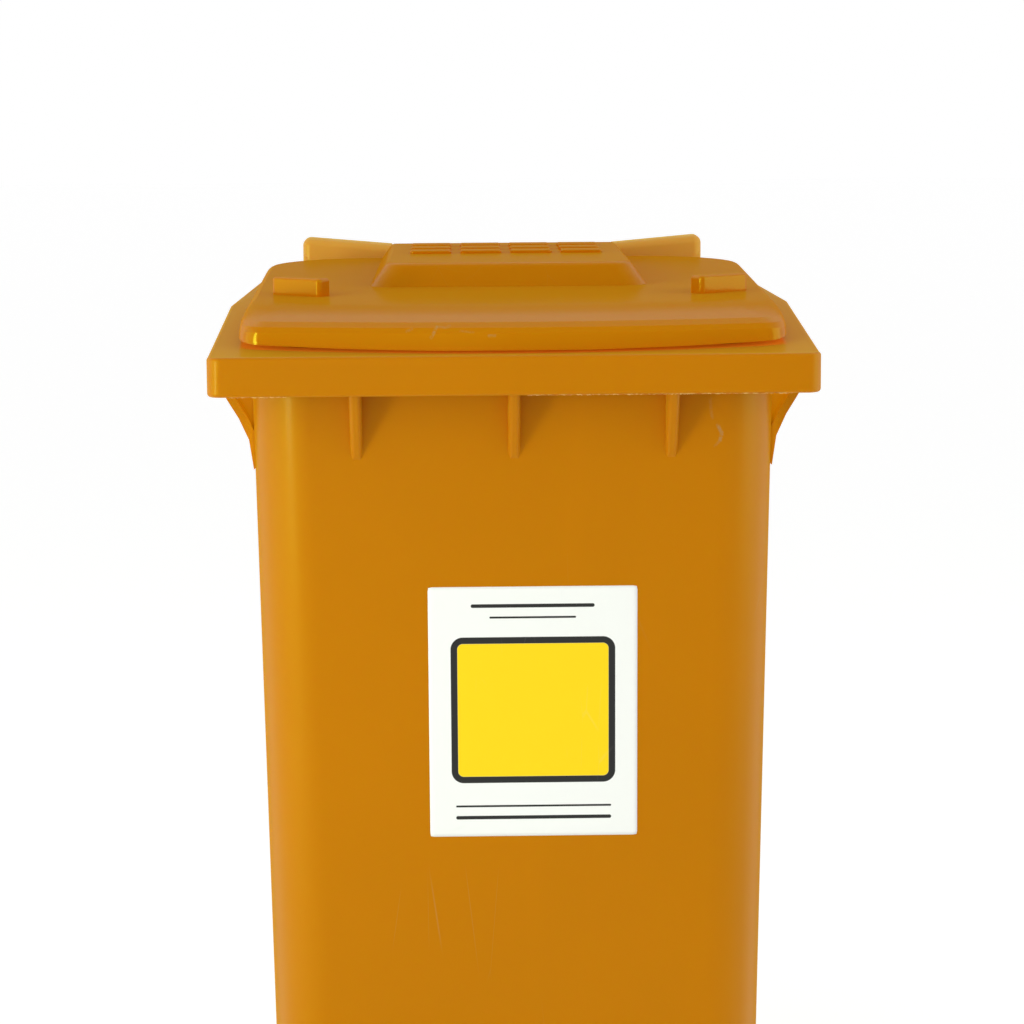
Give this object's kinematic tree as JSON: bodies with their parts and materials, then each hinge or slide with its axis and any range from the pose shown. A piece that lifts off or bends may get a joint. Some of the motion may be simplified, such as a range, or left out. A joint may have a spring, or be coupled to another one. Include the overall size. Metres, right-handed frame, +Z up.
{
  "type": "two-wheeled waste bin",
  "caption": "Tall tapered plastic waste bin with a hinged domed lid, a comb-lift lip, a rear handle and clip-on rubber-tyred wheels.",
  "frame": {"origin": "on the floor, under the centre of the box round the whole bin", "axes": "+Z up, -Y towards the bin's front, +X to the right when looking at the front"},
  "size_m": [0.5792, 0.731, 1.0725],
  "materials": {
    "orange_plastic": "satin moulded polyethylene",
    "label_vinyl": "printed vinyl",
    "steel": "zinc plated",
    "tyre": "solid rubber",
    "black_plastic": "moulded"
  },
  "bodies": {
    "tub": {"bin_body": "orange_plastic", "label": "label_vinyl", "axle": "steel", "hinge_pin_left": "orange_plastic", "axle_washer_left": "black_plastic", "hinge_pin_right": "orange_plastic", "axle_washer_right": "black_plastic"},
    "lid": {"lid": "orange_plastic"},
    "wheel_left": {"wheel_rim_left": "black_plastic", "tyre_left": "tyre", "hub_cap_left": "black_plastic", "latch_plug_left": "black_plastic", "latch_spring_left": "steel"},
    "latch_left": {"latch_plunger_left": "black_plastic"},
    "wheel_right": {"wheel_rim_right": "black_plastic", "tyre_right": "tyre", "hub_cap_right": "black_plastic", "latch_plug_right": "black_plastic", "latch_spring_right": "steel"},
    "latch_right": {"latch_plunger_right": "black_plastic"}
  },
  "joints": [
    {"name": "lid_hinge", "type": "hinge", "parent": "tub", "child": "lid", "pos_m": [0, 0.352, 1.048], "axis": [-1, 0, 0], "range_deg": [0, 270]},
    {"name": "wheel_spin_left", "type": "hinge", "parent": "tub", "child": "wheel_left", "pos_m": [-0.244, 0.232, 0.1], "axis": [1, 0, 0], "continuous": true},
    {"name": "latch_slide_left", "type": "slide", "parent": "wheel_left", "child": "latch_left", "axis": [0, 0, 1], "range_m": [0, 0.003], "stiffness_N_per_m": 400, "springref_m": -0.004, "deforming": ["latch_spring_left"]},
    {"name": "wheel_spin_right", "type": "hinge", "parent": "tub", "child": "wheel_right", "pos_m": [0.244, 0.232, 0.1], "axis": [1, 0, 0], "continuous": true},
    {"name": "latch_slide_right", "type": "slide", "parent": "wheel_right", "child": "latch_right", "axis": [0, 0, 1], "range_m": [0, 0.003], "stiffness_N_per_m": 400, "springref_m": -0.004, "deforming": ["latch_spring_right"]}
  ]
}
